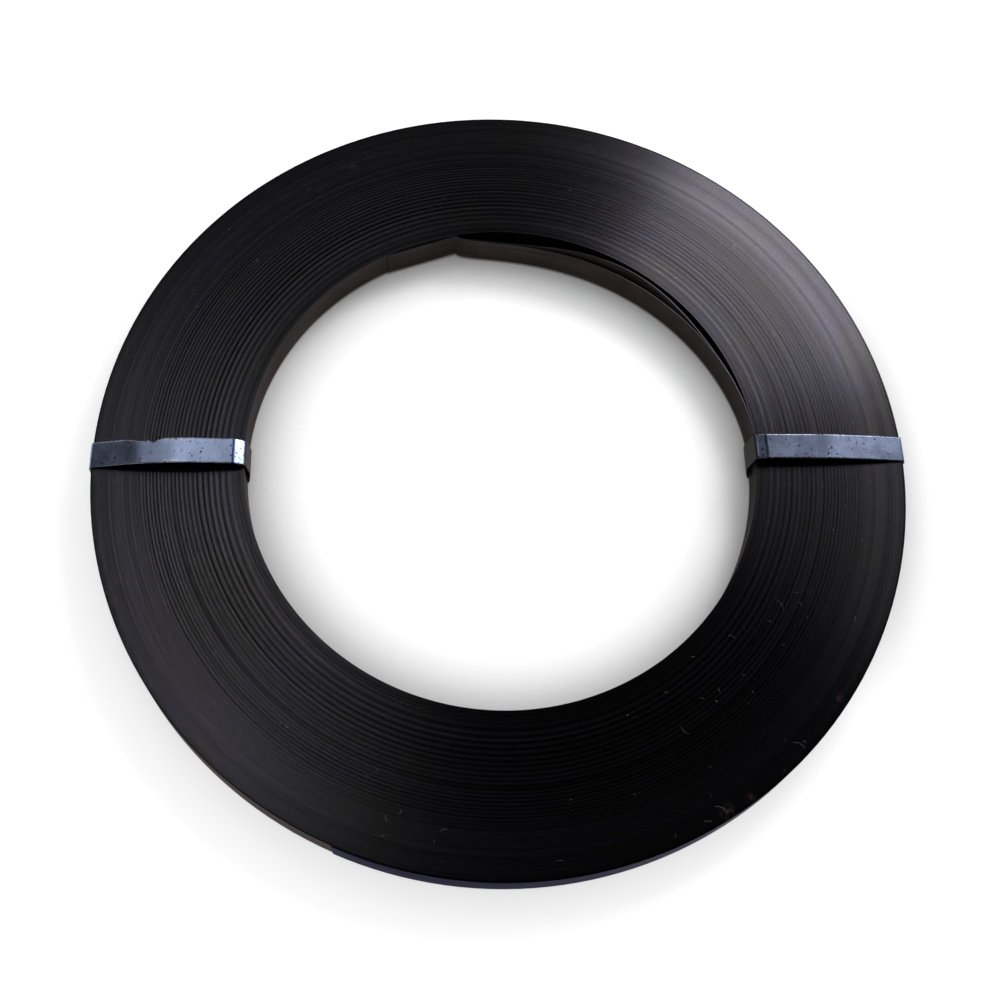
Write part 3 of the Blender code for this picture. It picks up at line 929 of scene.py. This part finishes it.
def band_corners(shape, strap, band):
    """Corners (x, z, bend radius) of a tie band's middle line, from its inner lap end to its outer one."""
    lag = (strap.inner_end - math.radians(shape.azimuth)) % FULL_TURN
    seat = band.clearance + band.thickness / 2
    facet = math.cos(math.pi / CAD_RING_SEGMENTS)
    wall = math.sqrt((wound_radius(lag, strap) * facet) ** 2 - (band.width / 2) ** 2)
    last_lag = (strap.inner_end - strap.outer_end) % FULL_TURN
    extra = 1 if lag <= last_lag else 0
    inner = wall - seat
    outer = wound_radius(lag + (strap.whole_turns + extra) * FULL_TURN, strap) + seat
    lapped = outer + band.thickness + LAP_GAP
    top = COIL_HIGH.z + seat
    base = COIL_LOW.z - seat
    build = outer - inner
    return (
        (outer, COIL_LOW.z + LAP_MARGIN, 0),
        (outer, top, TIGHT_BEND),
        (inner + shape.shoulder_share * build, top + shape.shoulder_rise, ARCH_BEND),
        (inner + shape.arch_share * build, top + shape.arch_rise, ARCH_BEND),
        (inner + CREASE_FROM_BORE, top + shape.crease_rise, CREASE_BEND),
        (inner - BORE_EDGE_STEP, top + shape.edge_rise, EDGE_BEND),
        (inner - shape.bore_bulge, (top + base) / 2, BULGE_BEND),
        (inner, base, TIGHT_BEND),
        (lapped, base, TIGHT_BEND),
        (lapped, COIL_HIGH.z - LAP_MARGIN, 0),
    )


BEND_STEPS = 12


def rounded_line(corners):
    """Points of a line through the corners, each bend an arc tangent to both of its runs."""
    line = [np.array(corners[0][:2])]
    for before, corner, after in zip(corners, corners[1:], corners[2:]):
        point = np.array(corner[:2])
        back = np.array(before[:2]) - point
        ahead = np.array(after[:2]) - point
        back /= np.linalg.norm(back)
        ahead /= np.linalg.norm(ahead)
        half = math.acos(np.clip(back @ ahead, -1, 1)) / 2
        middle = (back + ahead) / np.linalg.norm(back + ahead)
        centre = point + middle * corner[2] / math.sin(half)
        start = point + back * corner[2] / math.tan(half) - centre
        end = point + ahead * corner[2] / math.tan(half) - centre
        turn = math.atan2(start[0] * end[1] - start[1] * end[0], start @ end)
        angle = turn * np.linspace(0, 1, BEND_STEPS + 1)[:, None]
        across = np.array([-start[1], start[0]])
        line.extend(centre + start * np.cos(angle) + across * np.sin(angle))
    line.append(np.array(corners[-1][:2]))
    return np.array(line)


STATION_STEP = 0.00055


def even_line(line):
    """The line read again at even steps of its length, with its unit normals and the length so far."""
    length = np.concatenate([[0], np.cumsum(np.linalg.norm(np.diff(line, axis=0), axis=1))])
    run = np.linspace(0, length[-1], int(length[-1] / STATION_STEP))
    middle = np.stack([np.interp(run, length, line[:, axis]) for axis in (0, 1)], axis=1)
    ahead = np.gradient(middle, axis=0)
    ahead /= np.linalg.norm(ahead, axis=1)[:, None]
    normal = np.stack([ahead[:, 1], -ahead[:, 0]], axis=1)
    return middle, normal, run


BAND_COLUMNS = 26
EDGE_ROUND = 0.0002
NICK_PITCH = 0.0011
NICKED_PATCH = 0.009
TEAR_PITCH = 0.0009
TEAR_ROUGHNESS = 0.35
# Weld spots: edges and soft widths in shares of the spot's radius, and the dimple's share of its height.
DISC_EDGE = 1.12
DISC_SOFT = 0.2
DIMPLE_EDGE = 0.55
DIMPLE_SOFT = 0.35
DIMPLE_DEPTH = 0.55


def band_rings(shape, strap, band):
    """Section rings of a tie band, and each point's distance from its nearest side edge and from the bore.

    Across the band a point is its share between the two side edges. Each edge is the half width less
    a nick noise, and less the torn notch on the far edge. Both faces are the middle line plus or minus
    half the thickness along its normal. The outer lap rises in two low dimpled discs, the weld spots.
    """
    corners = band_corners(shape, strap, band)
    middle, normal, run = even_line(rounded_line(corners))
    build = corners[0][0] - corners[-3][0]
    share_of_build = (middle[:, 0] - corners[-3][0]) / build
    half = band.width / 2 - EDGE_ROUND
    nicks = []
    for seed in (shape.seed, shape.seed + 1):
        rough = value_noise(run, NICK_PITCH, seed) * value_noise(run, NICKED_PATCH, seed + 7)
        nicks.append(np.clip(rough, 0, 1))
    far = -half + band.edge_wear * 2 * nicks[0]
    close = half - band.edge_wear * 2 * nicks[1]
    if shape.torn_edge:
        places, depths = (np.array(column)[::-1] for column in zip(*shape.torn_edge))
        depth = np.interp(share_of_build, places, depths, left=0, right=0)
        ragged = 1 + TEAR_ROUGHNESS * value_noise(run, TEAR_PITCH, shape.seed + 20)
        far += depth * ragged * (middle[:, 1] > COIL_HIGH.z)
    share = np.linspace(0, 1, BAND_COLUMNS)
    y_top = far[:, None] + (close - far)[:, None] * share
    ends = close[:, None] + EDGE_ROUND, far[:, None] - EDGE_ROUND
    rounded = np.concatenate([y_top, ends[0], y_top[:, ::-1], ends[1]], axis=1)
    side = np.concatenate([np.ones(BAND_COLUMNS), [0], -np.ones(BAND_COLUMNS), [0]])
    thick = side[None, :] * band.thickness / 2 * np.ones((len(run), 1))
    on_lap = (run > run[-1] - (COIL_HIGH.z - COIL_LOW.z))[:, None] & (side[None, :] > 0)
    spot_height = (COIL_LOW.z + COIL_HIGH.z) / 2
    for spot in (-1, 1):
        sideways = rounded - spot * WELD_SPOT_PITCH / 2
        away = np.hypot(sideways, middle[:, 1:] - spot_height) / WELD_SPOT_RADIUS
        disc = smoothstep((DISC_EDGE - away) / DISC_SOFT)
        disc = disc - DIMPLE_DEPTH * smoothstep((DIMPLE_EDGE - away) / DIMPLE_SOFT)
        thick += np.where(on_lap, WELD_SPOT_HEIGHT * disc, 0)
    x = middle[:, :1] + normal[:, :1] * thick
    z = middle[:, 1:] + normal[:, 1:] * thick
    cosine, sine = math.cos(math.radians(shape.azimuth)), math.sin(math.radians(shape.azimuth))
    rings = np.stack([x * cosine - rounded * sine, x * sine + rounded * cosine, z], axis=-1)
    margin = np.minimum(rounded - far[:, None], close[:, None] - rounded)
    from_bore = (middle[:, :1] - corners[-3][0]) * np.ones(rounded.shape)
    temper = np.full(rounded.shape, shape.temper)
    return rings, {"edge_distance": np.maximum(margin, 0), "from_bore": from_bore, "temper": temper}


def make_band(name, shape, strap, band, material):
    """One tie band in its finish, in place of its plain solid."""
    rings, attributes = band_rings(shape, strap, band)
    piece = make_tube(name + "_steel", rings, [material], [0] * rings.shape[1], (), attributes)
    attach(piece, "root")
    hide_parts(name)


LINT_MARKS = (
    PhotoMark(across=774, down=599, heading=-56.0, length=0.0115),
    PhotoMark(across=794, down=592, heading=0.0, length=0.0035),
    PhotoMark(across=767, down=619, heading=-37.0, length=0.0040),
    PhotoMark(across=728, down=636, heading=-23.0, length=0.0060),
    PhotoMark(across=781, down=644, heading=0.0, length=0.0030),
    PhotoMark(across=699, down=698, heading=-22.0, length=0.0045),
    PhotoMark(across=719, down=687, heading=-80.0, length=0.0045),
    PhotoMark(across=790, down=744, heading=-21.0, length=0.0120),
    PhotoMark(across=713, down=807, heading=-21.0, length=0.0115),
    PhotoMark(across=703, down=821, heading=0.0, length=0.0060),
    PhotoMark(across=680, down=724, heading=-48.0, length=0.0100),
    PhotoMark(across=398, down=815, heading=60.0, length=0.0050),
    PhotoMark(across=387, down=822, heading=110.0, length=0.0045),
    PhotoMark(across=440, down=832, heading=15.0, length=0.0060),
    PhotoMark(across=433, down=845, heading=75.0, length=0.0040),
    PhotoMark(across=306, down=191, heading=40.0, length=0.0050),
    PhotoMark(across=257, down=264, heading=100.0, length=0.0050),
    PhotoMark(across=250, down=322, heading=70.0, length=0.0050),
)
CRUMB_MARKS = (
    PhotoMark(across=715, down=701),
    PhotoMark(across=744, down=674),
    PhotoMark(across=805, down=741),
    PhotoMark(across=627, down=716),
    PhotoMark(across=229, down=230),
    PhotoMark(across=193, down=291),
    PhotoMark(across=196, down=307),
    PhotoMark(across=134, down=356),
    PhotoMark(across=180, down=583),
    PhotoMark(across=215, down=653),
    PhotoMark(across=281, down=723),
    PhotoMark(across=287, down=728),
    PhotoMark(across=845, down=507),
    PhotoMark(across=870, down=481),
    PhotoMark(across=861, down=539),
    PhotoMark(across=832, down=530),
    PhotoMark(across=841, down=394),
)
LINT_STEPS = 14
LINT_SIDES = 5
LINT_COUNT = 120
LINT_SEED = 17
LINT_AZIMUTHS = (-115, 75)
LINT_RADII = (0.212, 0.318)
LINT_BEND = 1.6
LINT_SHORTEST = 0.0010
LINT_LONGER = 0.0050
LINT_BIAS = 2.5
LINT_THICKNESSES = (0.00004, 0.00007)
CHOSEN_THICKNESS = 0.000065
CRUMB_LENGTHS = (0.0009, 0.0015)
CRUMB_BEND = 0.2
CRUMB_THICKNESS = 0.00022
LINT_BED = 0.12 * MM
LINT_ARCH = 0.35 * MM


def lint_fibres(count, seed):
    """Place, heading, length, bend and thickness of each fibre.

    The marked fibres come first, then the marked crumbs, which are short and thick, then seeded
    random fibres.
    """
    rng = np.random.default_rng(seed)
    chosen = np.array([(*mark.place(), mark.heading, mark.length) for mark in LINT_MARKS])
    crumbs = np.array([mark.place() for mark in CRUMB_MARKS])
    known = len(chosen) + len(crumbs)
    extra = count - known
    azimuth = np.concatenate([chosen[:, 0], crumbs[:, 0], rng.uniform(*LINT_AZIMUTHS, extra)])
    radius = np.concatenate([chosen[:, 1], crumbs[:, 1], rng.uniform(*LINT_RADII, extra)])
    heading = np.radians(np.concatenate([chosen[:, 2], rng.uniform(0, 360, len(crumbs) + extra)]))
    crumb_length = rng.uniform(*CRUMB_LENGTHS, len(crumbs))
    extra_length = LINT_SHORTEST + LINT_LONGER * rng.random(extra) ** LINT_BIAS
    length = np.concatenate([chosen[:, 3], crumb_length, extra_length])
    bend = rng.uniform(-LINT_BEND, LINT_BEND, count)
    bend[len(chosen):known] = CRUMB_BEND
    chosen_thick = np.full(len(chosen), CHOSEN_THICKNESS)
    crumb_thick = np.full(len(crumbs), CRUMB_THICKNESS)
    thick = np.concatenate([chosen_thick, crumb_thick, rng.uniform(*LINT_THICKNESSES, extra)])
    return np.radians(azimuth), radius, heading, length, bend, thick


def make_lint(material):
    """Fibres of lint lying on the top turns, joined in one mesh.

    Each is a thin tube along an arc: its heading turns evenly by its bend over its length. It lies
    one tube radius over a bed a little under the highest turn, and its middle is lifted in an arch.
    """
    fibres = lint_fibres(LINT_COUNT, LINT_SEED)
    azimuth, radius, heading, length, bend, thick = (values[:, None] for values in fibres)
    along = np.linspace(-0.5, 0.5, LINT_STEPS)[None, :]
    angle = heading + bend * along
    step = length / (LINT_STEPS - 1)
    x = radius * np.cos(azimuth) + np.cumsum(np.cos(angle), axis=1) * step
    y = radius * np.sin(azimuth) + np.cumsum(np.sin(angle), axis=1) * step
    lift = COIL_HIGH.z - LINT_BED + thick + LINT_ARCH * (1 - (2 * along) ** 2) * np.abs(bend)
    taper = thick * (1 - 0.6 * np.abs(2 * along) ** 3)
    around = np.linspace(0, FULL_TURN, LINT_SIDES, endpoint=False)
    across = np.stack([-np.sin(angle), np.cos(angle)], axis=-1)
    centre = np.stack([x, y, lift], axis=-1)[:, :, None, :]
    sideways = across[:, :, None, :] * np.cos(around)[None, None, :, None]
    upwards = np.broadcast_to(np.sin(around)[None, None, :, None], (*x.shape, LINT_SIDES, 1))
    offset = np.concatenate([sideways, upwards], axis=-1)
    rings = centre + offset * taper[:, :, None, None]
    quads, first, last = tube_faces(LINT_STEPS, LINT_SIDES)
    if signed_volume(rings[0].reshape(-1, 3), quads) < 0:
        quads, first, last = quads[:, ::-1], first[::-1], last[::-1]
    starts = (np.arange(LINT_COUNT) * LINT_STEPS * LINT_SIDES)[:, None, None]
    faces = (quads[None] + starts).reshape(-1, 4).tolist()
    caps = np.stack([first, last[::-1]])[None] + starts
    faces += caps.reshape(-1, LINT_SIDES).tolist()
    piece = add_mesh("lint_fibres", rings, faces, [material])
    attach(piece, "root")


class Softbox(NamedTuple):
    """A lamp aimed at the coil: where it stands, with angles in degrees, its sides and its brightness."""

    name: str
    azimuth: float
    elevation: float
    distance: float
    width: float
    height: float
    radiance: float
    colour: tuple


SOFTBOXES = (
    Softbox("key_softbox", 53.0, 40.0, 2.2, 0.90, 0.60, 13.6, (1.0, 0.985, 1.0)),
    Softbox("wide_softbox", 38.0, 46.0, 2.6, 2.2, 1.2, 1.10, (1.0, 0.99, 1.0)),
    Softbox("panel_softbox", 114.0, 62.5, 2.2, 1.00, 0.5, 1.95, (0.98, 0.99, 1.0)),
    Softbox("top_softbox", 185.0, 76.0, 2.2, 0.6, 0.6, 1.2, (0.98, 0.99, 1.0)),
    Softbox("front_softbox", 255.0, 42.0, 2.6, 2.0, 1.2, 1.2, (1.0, 1.0, 1.0)),
)
WATTS_PER_RADIANCE = math.pi
BACKDROP_RADIUS = 4.0
BACKDROP_BEND = 0.6
BACKDROP_HEIGHT = 1.5
BACKDROP_STEPS = 128
BACKDROP_BEND_POINTS = 13
FLOOR_RINGS = [0.05, 0.4, 1.0, 2.0]
# Where the shadow's strength changes: across x outside the coil, and from the bore outwards.
RIGHT_SIDE = (0.26, 0.34)
BORE_RIM = (0.20, 0.30)
SHADOW_SAMPLES = 6
SHADOW_REACH = 0.06
BORE_SHADOW = 2.5
LEFT_SHADOW = 0.3
RIGHT_SHADOW = 1.8


def floor_finish(colours, studio):
    """Pale floor and backdrop, which glow white to the camera and in reflections.

    The glow is scaled by the ambient occlusion to a power, which deepens the coil's shadow: one
    power inside the bore, and outside it one that rises towards the right.
    """
    material, graph, shader = new_material("studio_floor")
    grain = graph.noise(graph.place(), 3.0, 2.0, 0.5)
    shade = graph.mix(graph.span(grain, 0.3, 0.7), shaded(colours.floor, 0.985), colours.floor)
    graph.feed(shader["Base Color"], shade)
    graph.feed(shader["Roughness"], 0.9)
    graph.feed(shader["Specular IOR Level"], 0.0)
    graph.feed(shader["Emission Color"], WHITE)
    path = graph.node("ShaderNodeLightPath").outputs
    seen = graph.math("MAXIMUM", path["Is Camera Ray"], path["Is Glossy Ray"])
    seen = graph.math("MAXIMUM", seen, path["Is Transmission Ray"])
    openness = graph.node("ShaderNodeAmbientOcclusion", samples=SHADOW_SAMPLES)
    graph.feed(openness.inputs["Distance"], SHADOW_REACH)
    x, y, _ = graph.axes()
    outside = graph.span(x, *RIGHT_SIDE, LEFT_SHADOW, RIGHT_SHADOW)
    power = graph.span(graph.radius(x, y), *BORE_RIM, BORE_SHADOW, outside)
    glow = graph.times(graph.math("POWER", openness.outputs["AO"], power), studio.floor_glow)
    graph.feed(shader["Emission Strength"], graph.times(seen, glow))
    return material


def make_backdrop(material):
    """Floor that turns up into a low wall all round: a profile of radius and height, turned round Z."""
    bend = np.linspace(0, math.pi / 2, BACKDROP_BEND_POINTS)
    flat = BACKDROP_RADIUS - BACKDROP_BEND
    radius = np.concatenate([FLOOR_RINGS, flat + BACKDROP_BEND * np.sin(bend), [BACKDROP_RADIUS]])
    rise = BACKDROP_BEND * (1 - np.cos(bend))
    height = np.concatenate([np.zeros(len(FLOOR_RINGS)), rise, [BACKDROP_HEIGHT]])
    angle = np.linspace(0, FULL_TURN, BACKDROP_STEPS, endpoint=False)[:, None]
    points = np.stack([radius * np.cos(angle), radius * np.sin(angle), height + 0 * angle], axis=-1)
    index = np.arange(points.shape[0] * points.shape[1]).reshape(points.shape[:2])
    here, ahead = index, np.roll(index, -1, 0)
    quads = np.stack([here[:, :-1], here[:, 1:], ahead[:, 1:], ahead[:, :-1]], axis=-1).reshape(-1, 4)
    backdrop = add_mesh("studio_backdrop", points, quads.tolist() + [index[:, 0].tolist()], [material])


def make_softbox(box, level):
    """Area lamp aimed at the coil's centre."""
    lamp = bpy.data.lights.new(box.name, "AREA")
    lamp.shape = "RECTANGLE"
    lamp.size = box.width
    lamp.size_y = box.height
    lamp.energy = level * box.radiance * box.width * box.height * WATTS_PER_RADIANCE
    lamp.color = box.colour
    azimuth = math.radians(box.azimuth)
    elevation = math.radians(box.elevation)
    level_part = math.cos(elevation)
    towards = Vector((math.cos(azimuth) * level_part, math.sin(azimuth) * level_part, math.sin(elevation)))
    placed = bpy.data.objects.new(box.name, lamp)
    placed.location = towards * box.distance
    placed.rotation_euler = towards.to_track_quat("Z", "Y").to_euler()
    placed.visible_camera = False
    bpy.context.scene.collection.objects.link(placed)


SKY_COLOUR = (0.97, 0.98, 1.0)
SKY_DARKENS = (0.38, 0.85)
OVERHEAD_SHARE = 0.05


def make_sky(level):
    """Pale walls and a ceiling that darkens overhead."""
    world = bpy.data.worlds.new("studio_ceiling")
    world.use_nodes = True
    graph = Graph(world.node_tree)
    background = world.node_tree.nodes["Background"].inputs
    parts = graph.node("ShaderNodeSeparateXYZ")
    graph.feed(parts.inputs[0], graph.node("ShaderNodeTexCoord").outputs["Generated"])
    graph.feed(background["Color"], SKY_COLOUR)
    strength = graph.span(parts.outputs[2], *SKY_DARKENS, level, level * OVERHEAD_SHARE)
    graph.feed(background["Strength"], strength)
    bpy.context.scene.world = world


CAMERA_PLACE = Vector((-0.0698, -0.4685, 1.1534))
CAMERA_TARGET = Vector((0.0041, 0.1553, 0.0011))
CAMERA_ROLL = math.radians(5.83)
CAMERA_LENS = 54.78
CAMERA_SHIFT = -0.20
CAMERA_SENSOR = 36.0
# The photograph's size and focal length in pixels, of which CAMERA_LENS is the rounded millimetres.
PHOTO_SIZE = 1000
PHOTO_FOCAL = 1521.76


def make_camera():
    """Camera at the photograph's angle: over the near side, rolled a little."""
    data = bpy.data.cameras.new("camera")
    data.sensor_width = CAMERA_SENSOR
    data.lens = CAMERA_LENS
    data.shift_y = CAMERA_SHIFT
    camera = bpy.data.objects.new("camera", data)
    aim = (CAMERA_PLACE - CAMERA_TARGET).to_track_quat("Z", "Y")
    camera.rotation_mode = "QUATERNION"
    camera.rotation_quaternion = aim @ Quaternion((0, 0, 1), CAMERA_ROLL)
    camera.location = CAMERA_PLACE
    bpy.context.scene.collection.objects.link(camera)
    bpy.context.scene.camera = camera


LOOSE_TURNS_END = 2
INNER_TURNS_END = 51
MIDDLE_TURNS_END = 100
LOOSE_STEPS = 480
WOUND_STEPS = 192


class COIL_OT_wind_strap(bpy.types.Operator):
    """Wind the strap from its loose inner turns to its outer end"""

    bl_idname = "strapping_coil.wind_strap"
    bl_label = "Wind Strap"

    def execute(self, context):
        strap = context.scene.coil_strap
        colours = context.scene.coil_colours
        materials = [edge_finish(colours), face_finish(colours)]
        last_part = ((strap.inner_end - strap.outer_end) % FULL_TURN) / FULL_TURN
        end = strap.whole_turns + last_part
        wind_stretch("strap_loose_turns", 0, LOOSE_TURNS_END, LOOSE_STEPS, strap, materials)
        wind_stretch("strap_inner_turns", LOOSE_TURNS_END, INNER_TURNS_END, WOUND_STEPS, strap, materials)
        wind_stretch("strap_middle_turns", INNER_TURNS_END, MIDDLE_TURNS_END, WOUND_STEPS, strap, materials)
        wind_stretch("strap_outer_turns", MIDDLE_TURNS_END, end, WOUND_STEPS, strap, materials)
        return {"FINISHED"}


class COIL_OT_tie_bands(bpy.types.Operator):
    """Tie the coil with its two steel bands"""

    bl_idname = "strapping_coil.tie_bands"
    bl_label = "Tie Bands"

    def execute(self, context):
        scene = context.scene
        material = band_finish(scene.coil_colours)
        for name, shape in BANDS.items():
            make_band(name, shape, scene.coil_strap, scene.coil_bands, material)
        return {"FINISHED"}


class COIL_OT_scatter_lint(bpy.types.Operator):
    """Scatter fibres of lint over the top turns"""

    bl_idname = "strapping_coil.scatter_lint"
    bl_label = "Scatter Lint"

    def execute(self, context):
        make_lint(lint_finish(context.scene.coil_colours))
        return {"FINISHED"}


class COIL_OT_set_stage(bpy.types.Operator):
    """Set the floor, the backdrop, the lamps and the camera"""

    bl_idname = "strapping_coil.set_stage"
    bl_label = "Set Stage"

    def execute(self, context):
        studio = context.scene.coil_studio
        make_backdrop(floor_finish(context.scene.coil_colours, studio))
        for box in SOFTBOXES:
            make_softbox(box, studio.lamp_level)
        make_sky(studio.sky_level)
        make_camera()
        context.scene.view_settings.view_transform = "Standard"
        return {"FINISHED"}


OPERATORS = (COIL_OT_wind_strap, COIL_OT_tie_bands, COIL_OT_scatter_lint, COIL_OT_set_stage)
SETTINGS = {
    "coil_strap": StrapSettings,
    "coil_bands": BandSettings,
    "coil_colours": ColourSettings,
    "coil_studio": StudioSettings,
}


class COIL_PT_panel(bpy.types.Panel):
    """Sizes, colours and steps of the strapping coil"""

    bl_label = "Strapping Coil"
    bl_idname = "COIL_PT_panel"
    bl_space_type = "VIEW_3D"
    bl_region_type = "UI"
    bl_category = "Strapping Coil"

    def draw(self, context):
        for key, settings in SETTINGS.items():
            box = self.layout.box()
            for name in settings.__annotations__:
                box.prop(getattr(context.scene, key), name)
        for operator in OPERATORS:
            self.layout.operator(operator.bl_idname)


def register():
    for made in (*SETTINGS.values(), *OPERATORS, COIL_PT_panel):
        bpy.utils.register_class(made)
    for key, settings in SETTINGS.items():
        setattr(bpy.types.Scene, key, PointerProperty(type=settings))


def unregister():
    for key in SETTINGS:
        delattr(bpy.types.Scene, key)
    for made in reversed((*SETTINGS.values(), *OPERATORS, COIL_PT_panel)):
        bpy.utils.unregister_class(made)


def main():
    register()
    make_effects()
    bpy.ops.strapping_coil.wind_strap()
    bpy.ops.strapping_coil.tie_bands()
    bpy.ops.strapping_coil.scatter_lint()
    bpy.ops.strapping_coil.set_stage()


if __name__ == "__main__":
    main()
